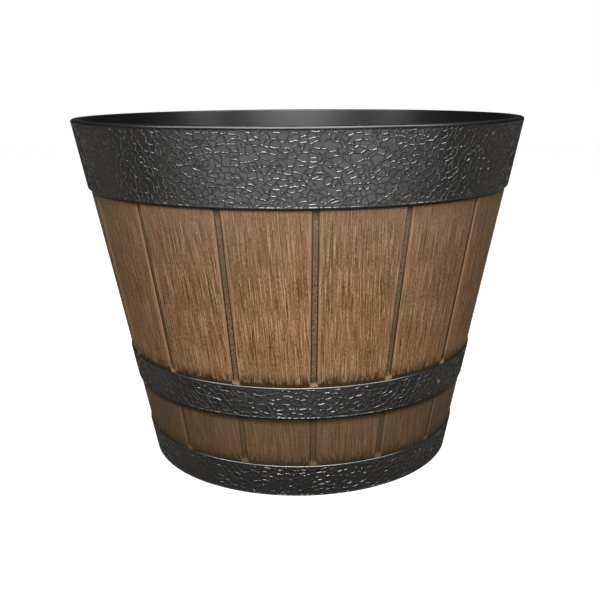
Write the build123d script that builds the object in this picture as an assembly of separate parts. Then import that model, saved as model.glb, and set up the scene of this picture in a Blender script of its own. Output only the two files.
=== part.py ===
from build123d import *
import os

# A tapered half-barrel planter. Millimetres, +Z up, origin on the floor at the centre of the base.

# Overall size. The rim and the foot of the staves set the taper that every wall and band follows.
height = 298.5
rim_radius = 194.5
stave_foot_radius = 135.9

# Walls, measured level
stave_thickness = 3.0
pot_wall = 2.2
pot_floor = 3.5

# Rim lip, which caps the staves and the rim band
lip_overhang = 0.2
lip_thickness = 2.4
lip_outer_round = 2.0
lip_inner_round = 1.2
lip_under_round = 0.2

# Foot and underside
floor_lift = 10.0
floor_corner_round = 10.0
foot_ring_width = 6.0
foot_round = 1.0
rib_count = 8
rib_thickness = 2.4
rib_depth = 3.0
hub_radius = 14.0
ring_rib_radius = 56.0

# Bands
rim_band_height = 54.3
rim_band_proud = 2.0
middle_band_bottom = 72.8
middle_band_height = 27.8
base_band_height = 29.0
band_proud = 1.2
band_edge_round = 1.1
base_ledge = 3.0

# Staves
stave_count = 16
groove_phase = 3.7
groove_width = 6.0
groove_floor_width = 4.6
groove_depth = 1.5
groove_ramp = 6.0
groove_tuck = 2.0

# Drain holes and their plugs
drain_count = 4
drain_circle_radius = 85.0
drain_hole_radius = 6.5
drain_boss_wall = 4.0
drain_boss_depth = 2.5
plug_flange_radius = 10.5
plug_flange_thickness = 2.2
plug_knob_radius = 4.4
plug_knob_height = 5.0
plug_neck_inset = 1.0
plug_tip_length = 1.5
plug_tip_taper = 0.5
plug_core_radius = 3.6
plug_bevel = 0.6

# Clearances: between nested cones, above a band in its seat, and round a plug's shank
cone_gap = 0.2
seat_depth = 1.0
seat_play = 0.2
plug_clearance = 0.1

standing = (Align.CENTER, Align.CENTER, Align.MIN)
lip_bottom = height - lip_thickness
stave_top_radius = rim_radius - lip_overhang - rim_band_proud
rim_band_bottom = lip_bottom - rim_band_height
middle_band_top = middle_band_bottom + middle_band_height
floor_top = floor_lift + pot_floor


def stave_radius(z):
    """Outside radius of the staves at a height. Their top is under the lip."""
    return stave_foot_radius + (stave_top_radius - stave_foot_radius) * z / lip_bottom


def pot_outside(z):
    """Outside radius of the inner pot, which nests in the staves."""
    return stave_radius(z) - stave_thickness - cone_gap


def pot_inside(z):
    """Inside radius of the inner pot."""
    return pot_outside(z) - pot_wall


def turned(points, rounds=(), bevels=()):
    """A solid turned about +Z from (radius, height) points, with rounds and bevels as (corner, size)."""
    outline = make_face(Polyline(*points, close=True))
    for corner, size in rounds:
        outline = fillet(corner_of(outline, corner), size)
    for corner, size in bevels:
        outline = chamfer(corner_of(outline, corner), size)
    return revolve(Plane.XZ * outline, Axis.Z)


def corner_of(outline, corner):
    """The vertex of a flat outline that lies nearest a point."""
    return outline.vertices().sort_by_distance((*corner, 0))[0]


def pot_body():
    """The nested wall, the rolled lip, the raised floor and the foot ring."""
    foot_outer = (pot_outside(0), 0)
    foot_inner = (pot_outside(0) - foot_ring_width, 0)
    under_corner = (foot_inner[0], floor_lift)
    lip_root = (pot_outside(lip_bottom), lip_bottom)
    lip_under = (rim_radius, lip_bottom)
    lip_outer = (rim_radius, height)
    lip_inner = (pot_inside(height), height)
    floor_corner = (pot_inside(floor_top), floor_top)
    points = [
        foot_outer,
        lip_root,
        lip_under,
        lip_outer,
        lip_inner,
        floor_corner,
        (0, floor_top),
        (0, floor_lift),
        under_corner,
        foot_inner,
    ]
    rounds = [
        (lip_under, lip_under_round),
        (lip_outer, lip_outer_round),
        (lip_inner, lip_inner_round),
        (floor_corner, floor_corner_round),
        (under_corner, foot_round),
        (foot_inner, foot_round),
    ]
    return turned(points, rounds)


def underside_ribs():
    """Radial ribs from a hub to the foot ring, and one ring rib across them."""
    rib_level = floor_lift - rib_depth
    rib_reach = pot_outside(0) - foot_ring_width / 2
    rib = Pos(0, 0, rib_level) * Box(
        rib_reach, rib_thickness, rib_depth, align=(Align.MIN, Align.CENTER, Align.MIN)
    )
    half_pitch = 180 / rib_count
    ribs = [spot * rib for spot in PolarLocations(0, rib_count, half_pitch)]
    hub = Pos(0, 0, rib_level) * Cylinder(hub_radius, rib_depth, align=standing)
    ring_outer = Cylinder(ring_rib_radius + rib_thickness / 2, rib_depth, align=standing)
    ring_inner = Cylinder(ring_rib_radius - rib_thickness / 2, rib_depth, align=standing)
    ring = Pos(0, 0, rib_level) * (ring_outer - ring_inner)
    return [*ribs, hub, ring]


def drain_spots():
    """Where the drain holes stand, half way between radial ribs."""
    half_pitch = 180 / drain_count
    return PolarLocations(drain_circle_radius, drain_count, half_pitch)


def pot_shell():
    """The black inner pot."""
    boss_foot = Pos(0, 0, floor_lift - drain_boss_depth)
    boss = Cylinder(drain_hole_radius + drain_boss_wall, drain_boss_depth, align=standing)
    hole = Cylinder(drain_hole_radius, floor_top, align=standing)
    bosses = [spot * boss_foot * boss for spot in drain_spots()]
    holes = [spot * hole for spot in drain_spots()]
    return pot_body() + underside_ribs() + bosses - holes


def stave_blank():
    """The wood-look wall before its grooves, with a shallow seat for each band."""
    base_seat_top = base_band_height + seat_play
    middle_seat_top = middle_band_top + seat_play

    def seat(z):
        return (stave_radius(z) - seat_depth, z)

    def face(z):
        return (stave_radius(z), z)

    def back(z):
        return (stave_radius(z) - stave_thickness, z)

    return turned(
        [
            back(base_ledge),
            seat(base_ledge),
            seat(base_seat_top),
            face(base_seat_top),
            face(middle_band_bottom),
            seat(middle_band_bottom),
            seat(middle_seat_top),
            face(middle_seat_top),
            face(rim_band_bottom),
            seat(rim_band_bottom),
            seat(lip_bottom),
            back(lip_bottom),
        ]
    )


def groove_cutter(low, high):
    """One joint between two staves: a drafted channel that ramps out to the face at its lower end."""
    overshoot = groove_depth
    draft = (groove_width - groove_floor_width) / 2 / groove_depth

    def section(z):
        floor_x = stave_radius(z) - groove_depth
        open_x = stave_radius(z) + overshoot
        floor_y = groove_floor_width / 2
        open_y = groove_width / 2 + overshoot * draft
        corners = [(floor_x, -floor_y), (floor_x, floor_y), (open_x, open_y), (open_x, -open_y)]
        return Pos(0, 0, z) * make_face(Polyline(*corners, close=True))

    channel = loft([section(low), section(high)], ruled=True)
    ramp_top = low + groove_ramp
    side_view = make_face(
        Polyline(
            (stave_radius(low), low),
            (stave_radius(ramp_top) - groove_depth, ramp_top),
            (stave_radius(high) - groove_depth, high),
            (stave_radius(high) + overshoot, high),
            (stave_radius(low) + overshoot, low),
            close=True,
        )
    )
    ramped = extrude(Plane.XZ * side_view, groove_width, both=True)
    return channel & ramped


def stave_wall():
    """The wood-look wall, with a ring of grooves above and below the middle band."""
    upper = groove_cutter(middle_band_top + seat_play, rim_band_bottom + groove_tuck)
    lower = groove_cutter(base_band_height + seat_play, middle_band_bottom + groove_tuck)
    joints = PolarLocations(0, stave_count, groove_phase - 90)
    return stave_blank() - [spot * groove for spot in joints for groove in (upper, lower)]


def band_seat(z):
    """Inside radius of a band, just clear of its seat in the staves."""
    return stave_radius(z) - seat_depth + cone_gap


def rim_band():
    """The deep band under the lip."""
    lower_edge = (stave_radius(rim_band_bottom) + rim_band_proud, rim_band_bottom)
    upper_edge = (stave_radius(lip_bottom) + rim_band_proud, lip_bottom)
    points = [
        (band_seat(rim_band_bottom), rim_band_bottom),
        lower_edge,
        upper_edge,
        (band_seat(lip_bottom), lip_bottom),
    ]
    return turned(points, [(lower_edge, band_edge_round)])


def middle_band():
    """The narrow band, standing on the lower shoulder of its seat."""
    lower_edge = (stave_radius(middle_band_bottom) + band_proud, middle_band_bottom)
    upper_edge = (stave_radius(middle_band_top) + band_proud, middle_band_top)
    points = [
        (band_seat(middle_band_bottom), middle_band_bottom),
        lower_edge,
        upper_edge,
        (band_seat(middle_band_top), middle_band_top),
    ]
    return turned(points, [(lower_edge, band_edge_round), (upper_edge, band_edge_round)])


def base_band():
    """The band at the foot. Its inner ledge carries the lower end of the staves."""
    lower_edge = (stave_radius(0) + band_proud, 0)
    upper_edge = (stave_radius(base_band_height) + band_proud, base_band_height)
    points = [
        (stave_radius(0) - stave_thickness, 0),
        lower_edge,
        upper_edge,
        (band_seat(base_band_height), base_band_height),
        (band_seat(base_ledge), base_ledge),
        (stave_radius(base_ledge) - stave_thickness, base_ledge),
    ]
    return turned(points, [(lower_edge, band_edge_round), (upper_edge, band_edge_round)])


def drain_plug():
    """A rubber plug: a flange and pull knob above the floor, a tapered hollow shank below."""
    shank_radius = drain_hole_radius - plug_clearance
    boss_bottom = floor_lift - drain_boss_depth
    tip = boss_bottom - plug_tip_length
    tip_radius = shank_radius - plug_tip_taper
    flange_top = floor_top + plug_flange_thickness
    knob_top = flange_top + plug_knob_height
    neck_top = flange_top + plug_knob_height / 2
    neck_radius = plug_knob_radius - plug_neck_inset
    flange_edge = (plug_flange_radius, flange_top)
    knob_edge = (plug_knob_radius, knob_top)
    knob_under = (plug_knob_radius, neck_top)
    points = [
        (0, floor_lift),
        (plug_core_radius, floor_lift),
        (plug_core_radius, tip),
        (tip_radius, tip),
        (shank_radius, floor_top),
        (plug_flange_radius, floor_top),
        flange_edge,
        (neck_radius, flange_top),
        (neck_radius, neck_top),
        knob_under,
        knob_edge,
        (0, knob_top),
    ]
    bevels = [(flange_edge, plug_bevel), (knob_under, plug_bevel), (knob_edge, plug_bevel)]
    return turned(points, bevels=bevels)


os.makedirs("parts", exist_ok=True)
export_step(pot_shell(), "parts/pot_shell.step")
export_step(stave_wall(), "parts/stave_wall.step")
export_step(rim_band(), "parts/rim_band.step")
export_step(middle_band(), "parts/middle_band.step")
export_step(base_band(), "parts/base_band.step")
for number, spot in enumerate(drain_spots(), start=1):
    export_step(spot * drain_plug(), f"parts/drain_plug_{number}.step")
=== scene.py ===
import math

import bpy
import numpy as np
from mathutils import Matrix, Vector

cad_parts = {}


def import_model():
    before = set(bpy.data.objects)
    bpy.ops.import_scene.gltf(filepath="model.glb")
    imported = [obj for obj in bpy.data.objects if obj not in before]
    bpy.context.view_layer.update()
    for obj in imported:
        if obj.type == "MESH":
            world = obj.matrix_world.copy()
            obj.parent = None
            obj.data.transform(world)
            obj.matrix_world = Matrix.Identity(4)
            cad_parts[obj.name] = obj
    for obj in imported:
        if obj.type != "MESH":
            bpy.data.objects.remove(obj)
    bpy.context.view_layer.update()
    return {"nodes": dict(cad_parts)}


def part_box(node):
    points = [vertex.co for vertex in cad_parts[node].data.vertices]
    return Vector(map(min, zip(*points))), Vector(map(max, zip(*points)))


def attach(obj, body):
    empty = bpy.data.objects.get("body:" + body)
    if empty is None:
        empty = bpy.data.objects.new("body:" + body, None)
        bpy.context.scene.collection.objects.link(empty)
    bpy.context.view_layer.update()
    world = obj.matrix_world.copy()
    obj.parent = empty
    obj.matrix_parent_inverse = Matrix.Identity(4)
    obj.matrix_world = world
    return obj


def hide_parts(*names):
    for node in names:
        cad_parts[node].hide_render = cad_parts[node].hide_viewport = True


# A half-barrel planter: wood-look staves, hammered black bands and a black inner pot.
# Metres, +Z up, origin on the floor at the centre of the base. The photographed side faces -Y.

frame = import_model()

MM = 0.001

# Sizes that the bands and staves share with the solids
STAVE_COUNT = 16
STAVE_THICKNESS = 3.0 * MM
SEAT_DEPTH = 1.0 * MM
SEAT_PLAY = 0.2 * MM
CONE_GAP = 0.2 * MM
RIM_BAND_PROUD = 2.0 * MM
BAND_PROUD = 1.2 * MM
BAND_EDGE_ROUND = 1.1 * MM
BASE_LEDGE = 3.0 * MM
GROOVE_PHASE = math.radians(3.7)
GROOVE_WIDTH = 6.0 * MM
GROOVE_FLOOR_WIDTH = 4.6 * MM
GROOVE_DEPTH = 1.5 * MM
GROOVE_RAMP = 6.0 * MM
GROOVE_TUCK = 2.0 * MM
LEVEL_TOLERANCE = 0.05 * MM

# Hammered cells: their size, and the ranges that each cell's own depth and inset are drawn from
CELL_WIDTH = 5.4 * MM
CELL_HEIGHT = 4.3 * MM
CELL_JITTER = 0.48
CELL_DEPTH = 0.42 * MM
CELL_DEPTH_SHARE = (0.85, 1.2)
LOW_BAND_DEPTH_SHARE = 1.3
CELL_TILT = 0.02
CELL_WALL = 0.47 * MM
CELL_WALL_EASE = 0.4
CELL_RIDGE = (0.02 * MM, 0.26 * MM)
CELL_CORNER_ROUND = 0.24 * MM
CELL_MERGED = 0.3
MERGED_SIDEWAYS = 0.7
CELL_MARGIN = 0.6 * MM
CELL_ROWS_BELOW = 2
CELL_ROWS_ABOVE = 3

# How the cells' lattice is warped, as (wavelength, reach) of each wobble
WARP_ROUND_BAND = ((18 * MM, 0.8 * MM), (6 * MM, 0.3 * MM))
WARP_UP_BAND = ((14 * MM, 0.5 * MM), (6 * MM, 0.3 * MM))

# Spacing of the bands' mesh, and the steps of their rounded edges
HAMMER_COLUMN = 0.29 * MM
HAMMER_ROW = 0.27 * MM
CORNER_STEPS = 5
SHARP_ANGLE = math.radians(75)

# Seeds of the random draws
RIM_SEED = 11
MIDDLE_SEED = 12
BASE_SEED = 13
GRAIN_SEED = 21

# A length beyond any on the planter, and a number that keeps a quotient or logarithm finite
FAR = 1.0
TINY = 1e-30

# Wood grain in the mesh, as (width, length, share) of each layer and (width, length, reach) of its meander
GRAIN_DEPTH = 0.16 * MM
GRAIN_COLUMN = 0.65 * MM
GRAIN_ROW = 1.3 * MM
GRAIN_LAYERS = ((1.2 * MM, 20 * MM, 0.45), (2.8 * MM, 45 * MM, 0.35), (8 * MM, 90 * MM, 0.2))
GRAIN_MEANDER = (26 * MM, 60 * MM, 5 * MM)
GRAIN_MARGIN = 1.5 * MM
GRAIN_STRETCH = 0.4
GROOVE_FLOOR_STEPS = 7
RAMP_STEPS = 6

# Camera, from the photograph's perspective
CAMERA_DISTANCE = 0.7548
CAMERA_HEIGHT = 0.3252
CAMERA_PITCH = math.radians(14.685)
CAMERA_YAW = math.radians(-0.934)
CAMERA_ROLL = math.radians(-0.332)
CAMERA_LENS = 49.977
CAMERA_SENSOR = 36
CAMERA_SHIFT = (-0.02193, 0.00416)

# Light: the room on matte surfaces, and what gloss mirrors in front of, behind and below the planter
ROOM_LIGHT = 0.055
MIRRORED_FRONT = 0.27
MIRRORED_BACK = 0.02
MIRRORED_FLOOR = 0.24
MIRROR_HEADING = (0, -1.0, 0.6)
MIRROR_FADE = (-0.2, 0.9)
FLOOR_WHITE = 0.98
FLOOR_REACH = 4.0
WHITE = (1, 1, 1, 1)

RIM_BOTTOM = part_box("rim_band")[0].z
RIM_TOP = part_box("rim_band")[1].z
MIDDLE_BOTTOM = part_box("middle_band")[0].z
MIDDLE_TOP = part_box("middle_band")[1].z
BASE_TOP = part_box("base_band")[1].z


def radius_at(node, z):
    """The largest radius that a CAD node has at a level."""
    points = np.array([v.co for v in frame["nodes"][node].data.vertices])
    level = points[np.abs(points[:, 2] - z) < LEVEL_TOLERANCE]
    return float(np.hypot(level[:, 0], level[:, 1]).max())


LOW_LEVEL = BASE_TOP + SEAT_PLAY
LOW_RADIUS = radius_at("stave_wall", LOW_LEVEL)
TAPER = (radius_at("stave_wall", RIM_BOTTOM) - LOW_RADIUS) / (RIM_BOTTOM - LOW_LEVEL)
LEAN = math.atan(TAPER)


def stave_radius(z):
    """Outside radius of the staves at a height."""
    return LOW_RADIUS + TAPER * (z - LOW_LEVEL)


def smoothstep(t):
    """An eased step from 0 to 1."""
    t = np.clip(t, 0, 1)
    return t * t * (3 - 2 * t)


def value_noise(x, y, rng):
    """Smooth noise from 0 to 1 with features about one unit across."""
    x = x - np.floor(x.min())
    y = y - np.floor(y.min())
    lattice = rng.random((int(x.max()) + 3, int(y.max()) + 3))
    column, row = x.astype(int), y.astype(int)
    across, along = smoothstep(x - column), smoothstep(y - row)
    low = lattice[column, row] * (1 - across) + lattice[column + 1, row] * across
    high = lattice[column, row + 1] * (1 - across) + lattice[column + 1, row + 1] * across
    return low * (1 - along) + high * along


def ring_mesh(name, points, attributes):
    """A closed ring from a grid of points: rows run round its section, columns round the axis."""
    rows, columns = points.shape[:2]
    row, column = np.meshgrid(np.arange(rows), np.arange(columns), indexing="ij")
    next_row, next_column = (row + 1) % rows, (column + 1) % columns
    corners = [
        row * columns + column,
        row * columns + next_column,
        next_row * columns + next_column,
        next_row * columns + column,
    ]
    quads = np.stack(corners, axis=-1).reshape(-1, 4)
    mesh = bpy.data.meshes.new(name)
    mesh.vertices.add(rows * columns)
    mesh.vertices.foreach_set("co", points.astype(np.float32).ravel())
    mesh.loops.add(quads.size)
    mesh.loops.foreach_set("vertex_index", quads.astype(np.int32).ravel())
    mesh.polygons.add(len(quads))
    mesh.polygons.foreach_set("loop_start", np.arange(0, quads.size, 4, dtype=np.int32))
    mesh.polygons.foreach_set("use_smooth", np.ones(len(quads), dtype=bool))
    mesh.update(calc_edges=True)
    mesh.set_sharp_from_angle(angle=SHARP_ANGLE)
    for label, values in attributes.items():
        if values.ndim == 3:
            layer = mesh.attributes.new(label, "FLOAT_VECTOR", "POINT")
            layer.data.foreach_set("vector", values.astype(np.float32).ravel())
        else:
            layer = mesh.attributes.new(label, "FLOAT", "POINT")
            layer.data.foreach_set("value", values.astype(np.float32).ravel())
    piece = bpy.data.objects.new(name, mesh)
    bpy.context.scene.collection.objects.link(piece)
    return piece


def wobble(angle, v, girth, wavelength, rng):
    """A smooth shift from -1 to 1 that closes on itself round the axis."""
    total = np.zeros_like(v)
    waves = 10
    for _ in range(waves):
        heading = rng.uniform(0, math.tau)
        turns = round(math.cos(heading) * girth / wavelength)
        climb = math.sin(heading) * math.tau / wavelength
        total += np.sin(turns * angle + climb * v + rng.uniform(0, math.tau))
    return total / math.sqrt(waves)


def wall_profile(t):
    """A straight wall from 0 to 1 with its upper and lower corner eased."""
    return CELL_WALL_EASE * smoothstep(t) + (1 - CELL_WALL_EASE) * np.clip(t, 0, 1)


def hammered(angle, v, girth, rng):
    """Depth of the hammer marks below the band's face: flat irregular cells with ridges between them."""
    columns = round(girth / CELL_WIDTH)
    rows = CELL_ROWS_BELOW + int(v.max() / CELL_HEIGHT) + CELL_ROWS_ABOVE

    def warp(wobbles):
        """The sum of some wobbles, in metres."""
        return sum(wobble(angle, v, girth, wavelength, rng) * reach for wavelength, reach in wobbles)

    x = (angle + warp(WARP_ROUND_BAND) / girth * math.tau) / math.tau * columns
    y = (v + warp(WARP_UP_BAND)) / CELL_HEIGHT + CELL_ROWS_BELOW
    shape = (columns, rows)
    jitter_x = rng.uniform(-CELL_JITTER, CELL_JITTER, shape)
    jitter_y = rng.uniform(-CELL_JITTER, CELL_JITTER, shape)
    cell_depth = rng.uniform(*CELL_DEPTH_SHARE, shape)
    inset = rng.uniform(*CELL_RIDGE, shape)
    tilt_x = rng.normal(0, CELL_TILT, shape)
    tilt_y = rng.normal(0, CELL_TILT, shape)

    # Some cells join the next one round the band, or the one above
    group = np.arange(columns * rows).reshape(shape)
    merged = rng.random(shape) < CELL_MERGED
    sideways = rng.random(shape) < MERGED_SIDEWAYS
    group = np.where(merged & sideways, np.roll(group, -1, axis=0), group)
    group = np.where(merged & ~sideways, np.roll(group, -1, axis=1), group)

    near_column = np.floor(x).astype(int)
    near_row = np.floor(y).astype(int)
    offsets = [(i, j) for i in range(-2, 3) for j in range(-2, 3)]

    def seed(i, j):
        """Place of a nearby cell's seed, and the cell's column and row."""
        column = (near_column + i) % columns
        row = np.clip(near_row + j, 0, rows - 1)
        stagger = 0.5 * (row % 2)
        seed_x = near_column + i + 0.5 + stagger + jitter_x[column, row]
        return seed_x, row + 0.5 + jitter_y[column, row], column, row

    # Home cell of each point: the one whose seed is nearest
    best = np.full(x.shape, np.inf)
    home_x, home_y = np.zeros_like(x), np.zeros_like(x)
    home_column, home_row = np.zeros(x.shape, int), np.zeros(x.shape, int)
    for i, j in offsets:
        seed_x, seed_y, column, row = seed(i, j)
        reach = (seed_x - x) ** 2 + (seed_y - y) ** 2
        closer = reach < best
        best = np.where(closer, reach, best)
        home_x, home_y = np.where(closer, seed_x, home_x), np.where(closer, seed_y, home_y)
        home_column, home_row = np.where(closer, column, home_column), np.where(closer, row, home_row)
    home_group = group[home_column, home_row]

    # Distance to the nearest cell of another group, rounded where two of them are near
    pile = np.zeros_like(x)
    for i, j in offsets:
        seed_x, seed_y, column, row = seed(i, j)
        across, up = seed_x - home_x, seed_y - home_y
        gap = ((seed_x + home_x) / 2 - x) * across + ((seed_y + home_y) / 2 - y) * up
        slope = np.hypot(across / CELL_WIDTH, up / CELL_HEIGHT)
        other = group[column, row] != home_group
        distance = np.where(other, gap / np.maximum(slope, TINY), FAR)
        pile += np.exp(-distance / CELL_CORNER_ROUND)
    edge = -CELL_CORNER_ROUND * np.log(np.maximum(pile, TINY))

    own = np.unravel_index(home_group, shape)
    pressed = wall_profile((edge - inset[own]) / CELL_WALL)
    lean_x = (x - home_x) * CELL_WIDTH * tilt_x[own]
    lean_y = (y - home_y) * CELL_HEIGHT * tilt_y[own]
    return pressed * (CELL_DEPTH * cell_depth[own] + lean_x + lean_y), pressed


def rounded_corner(radius, z, start, end):
    """Points of a round on a band's outer corner, from one heading to the other."""
    headings = [start + (end - start) * k / CORNER_STEPS for k in range(CORNER_STEPS + 1)]
    return [
        (radius + BAND_EDGE_ROUND * math.cos(h), z + BAND_EDGE_ROUND * math.sin(h)) for h in headings
    ]


def band(name, low, high, proud, back, seed, depth_share=1.0, top_rounded=True):
    """A hammered band between two levels. back lists its hidden inner points, from the top down."""

    def face(z):
        return stave_radius(z) + proud

    def round_centre(z):
        return face(z) - BAND_EDGE_ROUND / math.cos(LEAN)

    bottom = low + BAND_EDGE_ROUND
    outline = rounded_corner(round_centre(bottom), bottom, -math.pi / 2, -LEAN)
    upper = [(face(high), high)]
    if top_rounded:
        top = high - BAND_EDGE_ROUND
        upper = rounded_corner(round_centre(top), top, -LEAN, math.pi / 2)
    first, last = outline[-1][1], upper[0][1]
    count = round((last - first) / HAMMER_ROW)
    levels = [first + (last - first) * k / count for k in range(1, count)]
    outline += [(face(z), z) for z in levels] + upper + back
    radius = np.array([p[0] for p in outline])
    z = np.array([p[1] for p in outline])

    girth = math.tau * face((low + high) / 2)
    columns = round(girth / HAMMER_COLUMN)
    angle = np.arange(columns) / columns * math.tau
    angles, heights = np.meshgrid(angle, z)
    depth, pressed = hammered(angles, heights - low, girth, np.random.default_rng(seed))
    shown = np.zeros(len(z))
    faces = slice(CORNER_STEPS, CORNER_STEPS + count + 1)
    from_bottom = smoothstep((z[faces] - first) / CELL_MARGIN)
    from_top = smoothstep((last - z[faces]) / CELL_MARGIN)
    shown[faces] = from_bottom * from_top
    radii = radius[:, None] - np.maximum(depth * shown[:, None] * depth_share, 0)
    points = np.stack([radii * np.cos(angles), radii * np.sin(angles), heights], axis=-1)
    return ring_mesh(name, points, {"pressed": pressed * shown[:, None]})


def band_back(z):
    """Inside radius of a band, just clear of its seat in the staves."""
    return stave_radius(z) - SEAT_DEPTH + CONE_GAP


def bands():
    """The three hammered bands, each in place of its CAD solid."""
    rim_back = [(band_back(RIM_TOP), RIM_TOP), (band_back(RIM_BOTTOM), RIM_BOTTOM)]
    middle_back = [(band_back(MIDDLE_TOP), MIDDLE_TOP), (band_back(MIDDLE_BOTTOM), MIDDLE_BOTTOM)]
    base_back = [
        (band_back(BASE_TOP), BASE_TOP),
        (band_back(BASE_LEDGE), BASE_LEDGE),
        (stave_radius(BASE_LEDGE) - STAVE_THICKNESS, BASE_LEDGE),
        (stave_radius(0) - STAVE_THICKNESS, 0),
    ]
    deeper = LOW_BAND_DEPTH_SHARE
    rim = band("hammered_rim_band", RIM_BOTTOM, RIM_TOP, RIM_BAND_PROUD, rim_back, RIM_SEED, top_rounded=False)
    middle = band(
        "hammered_middle_band", MIDDLE_BOTTOM, MIDDLE_TOP, BAND_PROUD, middle_back, MIDDLE_SEED, deeper
    )
    base = band("hammered_base_band", 0, BASE_TOP, BAND_PROUD, base_back, BASE_SEED, deeper)
    paint = hammered_resin()
    for piece, node in ((rim, "rim_band"), (middle, "middle_band"), (base, "base_band")):
        piece.data.materials.append(paint)
        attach(piece, "planter")
        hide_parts(node)


def stave_columns():
    """Offsets across one stave: exact ones in metres beside each groove, then shares of the flat."""
    half, floor = GROOVE_WIDTH / 2, GROOVE_FLOOR_WIDTH / 2
    groove = [-half, -(half + floor) / 2, -floor]
    groove += [-floor + 2 * floor * k / GROOVE_FLOOR_STEPS for k in range(1, GROOVE_FLOOR_STEPS)]
    groove += [floor, (half + floor) / 2, half]
    pitch = math.tau / STAVE_COUNT
    flat = stave_radius((RIM_BOTTOM + BASE_TOP) / 2) * pitch - GROOVE_WIDTH
    count = round(flat / GRAIN_COLUMN)
    return groove, [k / count for k in range(1, count)]


def stave_rows():
    """(height, inward set-back, groove) for each row, up the outside from the foot to the top.

    groove is the level where the row's grooves start, "tuck" where they run on under a band, or None.
    """

    def seat(low, high):
        return [
            (low, SEAT_DEPTH, "tuck"),
            (low + GROOVE_TUCK, SEAT_DEPTH, "tuck"),
            (low + GROOVE_TUCK, SEAT_DEPTH, None),
            (high, SEAT_DEPTH, None),
        ]

    def face(low, high):
        ramp_top = low + GROOVE_RAMP
        levels = [low + GROOVE_RAMP * k / RAMP_STEPS for k in range(RAMP_STEPS)]
        count = round((high - ramp_top) / GRAIN_ROW)
        levels += [ramp_top + (high - ramp_top) * k / count for k in range(count + 1)]
        return [(z, 0.0, low) for z in levels]

    return [
        (BASE_LEDGE, STAVE_THICKNESS, None),
        (BASE_LEDGE, SEAT_DEPTH, None),
        (LOW_LEVEL, SEAT_DEPTH, None),
        *face(LOW_LEVEL, MIDDLE_BOTTOM),
        *seat(MIDDLE_BOTTOM, MIDDLE_TOP + SEAT_PLAY),
        *face(MIDDLE_TOP + SEAT_PLAY, RIM_BOTTOM),
        *seat(RIM_BOTTOM, RIM_TOP),
        (RIM_TOP, STAVE_THICKNESS, None),
    ]


def grain_relief(across, z, rng):
    """Height of the grain from 0 to 1: narrow, middling and broad streaks that meander."""

    def streaks(width, length):
        return value_noise(across / width, z / length, rng)

    width, length, reach = GRAIN_MEANDER
    across = across + streaks(width, length) * reach
    return sum(share * streaks(width, length) for width, length, share in GRAIN_LAYERS)


def staves():
    """The wood-look wall with its grooves and raised grain, in place of its CAD solid."""
    rows = stave_rows()
    groove, flat = stave_columns()
    per_stave = len(groove) + len(flat)
    z = np.array([row[0] for row in rows])[:, None]
    setback = np.array([row[1] for row in rows])[:, None]
    grooved = np.array([row[2] is not None for row in rows])[:, None]
    shown = np.array([isinstance(row[2], float) for row in rows])[:, None]
    groove_low = np.array([row[2] if isinstance(row[2], float) else -FAR for row in rows])[:, None]
    outside = stave_radius(z)

    pitch = math.tau / STAVE_COUNT
    half = GROOVE_WIDTH / 2
    stave = np.repeat(np.arange(STAVE_COUNT), per_stave)[None, :]
    offset = np.tile(np.array(groove + [0.0] * len(flat)), STAVE_COUNT)[None, :]
    share = np.tile(np.array([0.0] * len(groove) + flat), STAVE_COUNT)[None, :]
    in_groove = np.tile(np.array([True] * len(groove) + [False] * len(flat)), STAVE_COUNT)[None, :]
    flat_turn = half / outside + share * (pitch - GROOVE_WIDTH / outside)
    turn = np.where(in_groove, offset / outside, flat_turn)
    angle = GROOVE_PHASE - math.pi / 2 + stave * pitch + turn

    u = turn * outside
    from_groove = np.where(in_groove, np.abs(offset), np.minimum(u, pitch * outside - u))
    wall = (GROOVE_WIDTH - GROOVE_FLOOR_WIDTH) / 2
    channel = np.clip((half - from_groove) / wall, 0, 1) * GROOVE_DEPTH
    ramp = np.clip((z - groove_low) / GROOVE_RAMP, 0, 1) * GROOVE_DEPTH
    sunk = np.where(grooved, np.minimum(channel, ramp), 0.0)

    full = np.zeros_like(u)
    across = u + stave * GRAIN_STRETCH
    relief = grain_relief(across, z + full, np.random.default_rng(GRAIN_SEED))
    margin = smoothstep((from_groove - half) / GRAIN_MARGIN)
    grain = np.where(shown, GRAIN_DEPTH * (1 - relief) * margin, 0.0)

    radii = outside - np.maximum(setback, sunk) - grain
    points = np.stack([radii * np.cos(angle), radii * np.sin(angle), z + full], axis=-1)
    in_low_ring = z < (MIDDLE_BOTTOM + MIDDLE_TOP) / 2
    lowest = np.where(in_low_ring, LOW_LEVEL, MIDDLE_TOP + SEAT_PLAY)
    highest = np.where(in_low_ring, MIDDLE_BOTTOM, RIM_BOTTOM)
    attributes = {
        "grain": np.stack([across, z + full, stave + full], axis=-1),
        "relief": relief,
        "ramp": np.where(grooved, 1 - ramp / GROOVE_DEPTH, 0.0) + full,
        "from_groove": from_groove / MM,
        "above_band": (z - lowest) / MM + full,
        "below_band": (highest - z) / MM + full,
    }
    piece = ring_mesh("stave_wall_grained", points, attributes)
    piece.data.materials.append(wood_resin())
    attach(piece, "planter")
    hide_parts("stave_wall")


def feed(tree, socket, value):
    """Link a socket to another node's output, or set its value."""
    if isinstance(value, bpy.types.NodeSocket):
        tree.links.new(value, socket)
    else:
        socket.default_value = value


def put(tree, kind, inputs=(), **settings):
    """One shader node with its settings, and with its sockets set or linked."""
    node = tree.nodes.new(kind)
    for key, value in settings.items():
        setattr(node, key, value)
    for key, value in dict(inputs).items():
        feed(tree, node.inputs[key], value)
    return node


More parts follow.
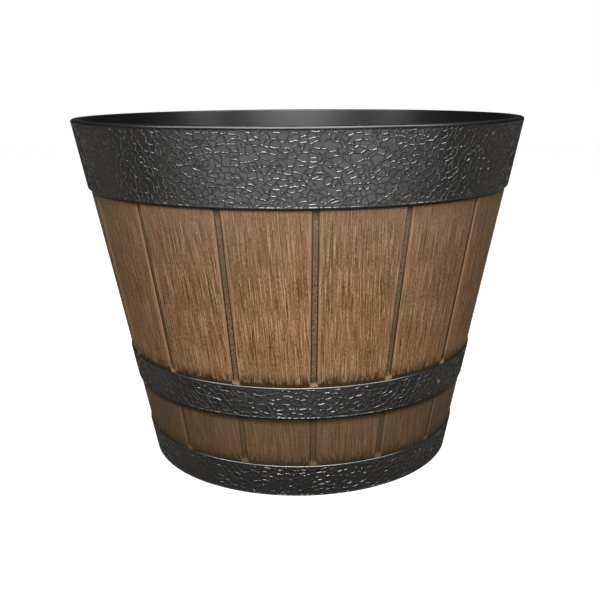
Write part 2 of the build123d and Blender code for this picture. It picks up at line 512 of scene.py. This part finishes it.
class Nodes:
    """A short way to write a procedural material."""

    def __init__(self, name):
        self.material = bpy.data.materials.new(name)
        self.material.use_nodes = True
        self.tree = self.material.node_tree
        self.shader = self.tree.nodes["Principled BSDF"]

    def put(self, kind, inputs=(), **settings):
        return put(self.tree, kind, inputs, **settings)

    def place(self):
        """Coordinates that ride with the piece."""
        return self.put("ShaderNodeTexCoord").outputs["Object"]

    def attribute(self, name, output="Fac"):
        return self.put("ShaderNodeAttribute", attribute_name=name).outputs[output]

    def noise(self, vector, scale, detail=2.0, roughness=0.5):
        inputs = {"Vector": vector, "Scale": scale, "Detail": detail, "Roughness": roughness}
        return self.put("ShaderNodeTexNoise", inputs).outputs["Fac"]

    def streaks(self, vector, per_metre, roughness=0.5):
        """Noise with its own number of features per metre along each axis."""
        stretched = self.put("ShaderNodeMapping", {"Vector": vector, "Scale": per_metre})
        return self.noise(stretched.outputs["Vector"], scale=1.0, roughness=roughness)

    def math(self, operation, a, b):
        return self.put("ShaderNodeMath", {0: a, 1: b}, operation=operation).outputs["Value"]

    def spread(self, value, low, high, to_low=0.0, to_high=1.0):
        inputs = {"Value": value, "From Min": low, "From Max": high, "To Min": to_low, "To Max": to_high}
        return self.put("ShaderNodeMapRange", inputs, interpolation_type="SMOOTHSTEP").outputs["Result"]

    def mix(self, factor, a, b):
        """A mix of two colours. Its sockets go by number, because sockets of other kinds share their names."""
        return self.put("ShaderNodeMix", {0: factor, 6: a, 7: b}, data_type="RGBA").outputs[2]

    def tint(self, under, mask, low, high, colour, strength=1.0):
        """A screen colour over another, as far as a mask has come from low to high."""
        return self.mix(self.spread(mask, low, high, 0.0, strength), under, linear(*colour))

    def bump(self, height, distance, strength=1.0):
        inputs = {"Height": height, "Distance": distance, "Strength": strength}
        feed(self.tree, self.shader.inputs["Normal"], self.put("ShaderNodeBump", inputs).outputs["Normal"])

    def finish(self, **sockets):
        for label, value in sockets.items():
            feed(self.tree, self.shader.inputs[label.replace("_", " ")], value)
        return self.material


def linear(red, green, blue):
    """A colour written as it shows on screen, 0 to 255, for a shader."""

    def one(value):
        share = value / 255
        return share / 12.92 if share <= 0.04045 else ((share + 0.055) / 1.055) ** 2.4

    return (one(red), one(green), one(blue), 1.0)


def black_resin():
    """Black moulded resin: faint mottling and a fine moulded skin."""
    n = Nodes("black_resin_paint")
    place = n.place()
    cloud = n.noise(place, 30.0, 3.0)
    speck = n.noise(place, 1400.0)
    mottle = n.math("ADD", n.math("MULTIPLY", cloud, 0.7), n.math("MULTIPLY", speck, 0.3))
    colour = n.mix(mottle, linear(22.1, 21.6, 21.1), linear(25.4, 25.2, 24.7))
    n.bump(speck, 0.04 * MM, 0.5)
    gloss = n.spread(speck, 0.2, 0.8, 0.26, 0.36)
    return n.finish(Base_Color=colour, Roughness=gloss, Specular_IOR_Level=0.25)


def hammered_resin():
    """The bands' resin. Ridge tops are painted a touch paler than the cell floors, so the cells carry painted
    shade.
    """
    n = Nodes("hammered_resin_paint")
    place = n.place()
    pressed = n.attribute("pressed")
    base = n.mix(n.noise(place, 40.0, 3.0), linear(36, 35, 34), linear(42, 41, 40))
    # Painted shade: the cell floors are left darker than the paler ridge tops
    colour = n.tint(base, pressed, 0.2, 0.0, (48, 47, 45), 0.5)
    speck = n.noise(place, 1600.0)
    n.bump(speck, 0.03 * MM, 0.5)
    gloss = n.spread(speck, 0.2, 0.8, 0.18, 0.26)
    return n.finish(Base_Color=colour, Roughness=gloss, Specular_IOR_Level=0.6)


def wood_resin():
    """Painted wood-look resin: fine upright grain, a dark line in the joints that is partly dark wash and
    partly painted shade, a dark wash above the bands, painted shade under the bands and on the strip below the
    middle band, and painted light that lightens the staves towards the bottom.

    Distances from the grooves and bands are in millimetres, and the level is in metres.
    """
    n = Nodes("wood_look_paint")
    grain = n.attribute("grain", "Vector")
    relief = n.attribute("relief")
    ramp = n.attribute("ramp")
    from_groove = n.attribute("from_groove")
    above_band = n.attribute("above_band")
    below_band = n.attribute("below_band")
    level = n.put("ShaderNodeSeparateXYZ", {"Vector": grain}).outputs["Y"]

    hair = n.streaks(grain, (1250, 30, 1), 0.65)
    vein = n.streaks(grain, (1050, 26, 2), 0.65)
    speck = n.streaks(grain, (1000, 420, 1), 0.65)
    patch = n.streaks(grain, (110, 9, 1), 0.55)
    cloud = n.streaks(grain, (30, 18, 3))
    ragged = n.streaks(grain, (420, 90, 1), 0.6)

    # Staves: two browns, painted lighter and warmer low down as painted light for the dimmer lamps there,
    # olive clouds, then hairs, veins, specks and pale worn edges
    body = n.mix(n.spread(patch, 0.36, 0.64), linear(138, 102, 68), linear(152, 116, 83))
    # Painted light: the staves lighter and warmer towards the bottom
    body = n.tint(body, level, 0.19, 0.1, (172, 128, 84), 0.6)
    body = n.tint(body, cloud, 0.46, 0.64, (132, 104, 62), 0.6)
    body = n.tint(body, relief, 0.5, 0.15, (104, 72, 40), 0.2)
    body = n.tint(body, hair, 0.53, 0.61, (218, 174, 130), 0.85)
    body = n.tint(body, vein, 0.47, 0.37, (78, 48, 22), 0.85)
    body = n.tint(body, speck, 0.48, 0.34, (84, 56, 30), 0.6)
    body = n.tint(body, speck, 0.56, 0.68, (204, 162, 118), 0.5)
    edge = n.spread(from_groove, 6.5, 3.4, 0.0, 0.8)
    worn = n.math("MULTIPLY", edge, n.spread(vein, 0.4, 0.58, 0.1, 0.8))
    body = n.mix(worn, body, linear(198, 156, 116))

    # Grooves: a speckled olive floor with a painted shadow of the band at its top, a dark line in its corners
    # that is partly dark wash and partly painted shade, pale walls and a pale ramp
    floor = n.mix(n.spread(speck, 0.34, 0.66), linear(88, 68, 42), linear(156, 130, 96))
    floor = n.tint(floor, cloud, 0.4, 0.62, (104, 86, 52), 0.6)
    # Painted shadow: the groove floor darker just under the band above
    floor = n.tint(floor, below_band, 9.0, 4.0, (78, 64, 40), 0.7)
    # Partly dark wash and partly painted shade: the dark line in the groove's corners
    wall = n.mix(n.spread(from_groove, 2.4, 2.7), linear(44, 28, 12), linear(164, 130, 94))
    groove = n.mix(n.spread(from_groove, 1.4, 2.0), floor, wall)
    groove = n.tint(groove, ramp, 0.25, 0.8, (174, 140, 108), 0.75)
    painted = n.mix(n.spread(from_groove, 3.02, 2.92), body, groove)

    # Painted shade darker below the middle band, a ragged dark wash above each band, and painted shade under
    # each band, greyer and then dark
    shaded_low_strip = n.spread(level, MIDDLE_TOP, MIDDLE_BOTTOM)
    # Painted shade: the strip below the middle band darker
    painted = n.mix(n.math("MULTIPLY", shaded_low_strip, 0.54), painted, linear(54, 32, 8))
    spikes = n.math("MULTIPLY", n.spread(above_band, 13.0, 1.5), n.spread(ragged, 0.36, 0.6))
    foot = n.math("MAXIMUM", n.spread(above_band, 4.6, 1.6, 0.0, 0.92), spikes)
    on_ramp = n.math("MULTIPLY", n.spread(ramp, 0.1, 0.6), n.spread(from_groove, 3.3, 2.8))
    off_ramp = n.math("SUBTRACT", 1.0, on_ramp)
    washed_and_shaded = n.mix(n.math("MULTIPLY", foot, off_ramp), painted, linear(48, 36, 18))
    # Painted shade under each band: greyer far down, greyer close under it, then dark
    washed_and_shaded = n.tint(washed_and_shaded, below_band, 70.0, 6.0, (132, 116, 96), 0.3)
    washed_and_shaded = n.tint(washed_and_shaded, below_band, 5.0, 1.0, (112, 98, 86), 0.6)
    washed_and_shaded = n.tint(washed_and_shaded, below_band, 2.2, 0.6, (44, 34, 22), 0.85)
    # Painted shadow: a darker zone right under the middle band
    painted_shadow_under_band = n.math("MULTIPLY", shaded_low_strip, n.spread(below_band, 7.0, 2.0, 0.0, 0.8))
    washed_and_shaded = n.mix(painted_shadow_under_band, washed_and_shaded, linear(42, 30, 16))

    height = n.math("ADD", n.math("MULTIPLY", hair, 0.6), n.math("MULTIPLY", speck, 0.4))
    n.bump(height, 0.12 * MM, 0.6)
    gloss = n.spread(hair, 0.2, 0.8, 0.5, 0.66)
    return n.finish(Base_Color=washed_and_shaded, Roughness=gloss, Specular_IOR_Level=0.16)


def plug_rubber():
    """Matte rubber with a dusty bloom."""
    n = Nodes("plug_rubber_skin")
    place = n.place()
    bloom = n.noise(place, 300.0, 3.0)
    colour = n.mix(bloom, linear(42, 42, 42), linear(56, 55, 54))
    n.bump(n.noise(place, 2500.0), 0.04 * MM, 0.6)
    return n.finish(Base_Color=colour, Roughness=n.spread(bloom, 0.3, 0.7, 0.68, 0.82))


def dress_cad_nodes():
    """Materials for the nodes whose solids stay in view."""
    rubber = plug_rubber()
    paints = {name: rubber for name in frame["nodes"] if name.startswith("drain_plug")}
    paints["pot_shell"] = black_resin()
    for name, paint in paints.items():
        materials = frame["nodes"][name].data.materials
        materials.clear()
        materials.append(paint)


def camera_and_mirror_rays(tree):
    """Whether a ray comes from the camera, and whether it comes from gloss or glass."""
    rays = put(tree, "ShaderNodeLightPath").outputs
    inputs = {0: rays["Is Glossy Ray"], 1: rays["Is Transmission Ray"]}
    mirrored = put(tree, "ShaderNodeMath", inputs, operation="ADD").outputs[0]
    return rays["Is Camera Ray"], mirrored


def choose(tree, factor, off, on):
    """One shader or another."""
    return put(tree, "ShaderNodeMixShader", {0: factor, 1: off.outputs[0], 2: on.outputs[0]})


def stage():
    """A pale floor that is white to the camera apart from the planter's shadow."""
    mesh = bpy.data.meshes.new("floor")
    corners = [(x * FLOOR_REACH, y * FLOOR_REACH, 0) for x, y in ((-1, -1), (1, -1), (1, 1), (-1, 1))]
    mesh.from_pydata(corners, [], [(0, 1, 2, 3)])
    floor = bpy.data.objects.new("floor", mesh)
    bpy.context.scene.collection.objects.link(floor)
    material = bpy.data.materials.new("floor_paper")
    material.use_nodes = True
    tree = material.node_tree
    tree.nodes.clear()
    from_camera, mirrored = camera_and_mirror_rays(tree)
    glow = put(tree, "ShaderNodeEmission", {"Color": WHITE, "Strength": FLOOR_WHITE})
    paper = put(tree, "ShaderNodeBsdfDiffuse", {"Color": (0.25, 0.25, 0.25, 1)})
    seen = put(tree, "ShaderNodeAddShader", {0: glow.outputs[0], 1: paper.outputs[0]})
    dim = put(tree, "ShaderNodeBsdfDiffuse", {"Color": (0.1, 0.095, 0.09, 1)})
    image = put(tree, "ShaderNodeEmission", {"Color": (1.0, 0.93, 0.85, 1), "Strength": MIRRORED_FLOOR})
    surface = choose(tree, from_camera, choose(tree, mirrored, dim, image), seen)
    put(tree, "ShaderNodeOutputMaterial", {"Surface": surface.outputs[0]})
    mesh.materials.append(material)


def world():
    """A dim soft room for the light that falls on the planter, and white for what looks past it."""
    made = bpy.data.worlds.new("studio")
    made.use_nodes = True
    tree = made.node_tree
    tree.nodes.clear()
    from_camera, mirrored = camera_and_mirror_rays(tree)
    heading = put(tree, "ShaderNodeTexCoord").outputs["Generated"]
    frontal = put(tree, "ShaderNodeVectorMath", {0: heading, 1: MIRROR_HEADING}, operation="DOT_PRODUCT")
    inputs = {
        "Value": frontal.outputs["Value"],
        "From Min": MIRROR_FADE[0],
        "From Max": MIRROR_FADE[1],
        "To Min": MIRRORED_BACK,
        "To Max": MIRRORED_FRONT,
    }
    share = put(tree, "ShaderNodeMapRange", inputs, interpolation_type="SMOOTHSTEP")
    room = put(tree, "ShaderNodeBackground", {"Color": (1.0, 0.9, 0.78, 1), "Strength": ROOM_LIGHT})
    reflected = put(tree, "ShaderNodeBackground", {"Color": WHITE, "Strength": share.outputs[0]})
    white = put(tree, "ShaderNodeBackground", {"Color": WHITE, "Strength": 1.0})
    surface = choose(tree, from_camera, choose(tree, mirrored, room, reflected), white)
    put(tree, "ShaderNodeOutputWorld", {"Surface": surface.outputs[0]})
    bpy.context.scene.world = made


def area_light(name, place, target, size, power, matte=True, gloss=True):
    """A soft oval lamp aimed at a point. matte and gloss say which kinds of surface it lights."""
    data = bpy.data.lights.new(name, "AREA")
    data.shape = "ELLIPSE"
    data.size, data.size_y = size
    data.energy = power
    lamp = bpy.data.objects.new(name, data)
    lamp.location = place
    lamp.rotation_euler = (Vector(target) - Vector(place)).to_track_quat("-Z", "Y").to_euler()
    lamp.visible_camera = False
    lamp.visible_diffuse = matte
    lamp.visible_glossy = gloss
    bpy.context.scene.collection.objects.link(lamp)


def lights():
    """A soft key above the camera and a fill behind, and reflectors that only gloss shows."""
    front, middle = (0, -0.1, 0.25), (0, 0.0, 0.25)
    area_light("key", (0, -0.95, 1.0), front, (1.3, 0.38), 19.5)
    area_light("back_fill", (0, 1.0, 0.95), (0, 0.1, 0.2), (1.3, 0.5), 15, gloss=False)
    area_light("top", (0, -0.35, 1.32), middle, (2.2, 1.0), 85, matte=False)
    area_light("glint", (0, -0.92, 1.05), front, (1.1, 0.46), 14, matte=False)
    for name, side in (("left_side", -1), ("right_side", 1)):
        area_light(name, (side * 1.05, -0.45, 0.98), front, (0.4, 0.4), 6.5, matte=False)

    # Three on the floor in front, each wider and dimmer across than the last, a few millimetres apart
    area_light("floor_bounce", (0, -0.75, 0.004), (0, -0.75, 1.0), (1.2, 0.62), 1.9, matte=False)
    area_light("floor_bounce_wide", (0, -0.75, 0.006), (0, -0.75, 1.0), (1.9, 0.8), 2.1, matte=False)
    area_light("floor_bounce_side", (0, -0.72, 0.008), (0, -0.72, 1.0), (2.6, 1.0), 3.2, matte=False)


def camera():
    """The photograph's view: just above the rim, close, and turned a little."""
    data = bpy.data.cameras.new("camera")
    data.lens = CAMERA_LENS
    data.sensor_width = CAMERA_SENSOR
    data.shift_x, data.shift_y = CAMERA_SHIFT
    made = bpy.data.objects.new("camera", data)
    turn = Matrix.Rotation(CAMERA_YAW, 4, "Z")
    tilt = Matrix.Rotation(math.pi / 2 - CAMERA_PITCH, 4, "X")
    aim = turn @ tilt @ Matrix.Rotation(CAMERA_ROLL, 4, "Z")
    made.matrix_world = Matrix.Translation((0, -CAMERA_DISTANCE, CAMERA_HEIGHT)) @ aim
    bpy.context.scene.collection.objects.link(made)
    bpy.context.scene.camera = made


camera()
bands()
staves()
dress_cad_nodes()
stage()
world()
lights()
bpy.context.scene.view_settings.view_transform = "Standard"
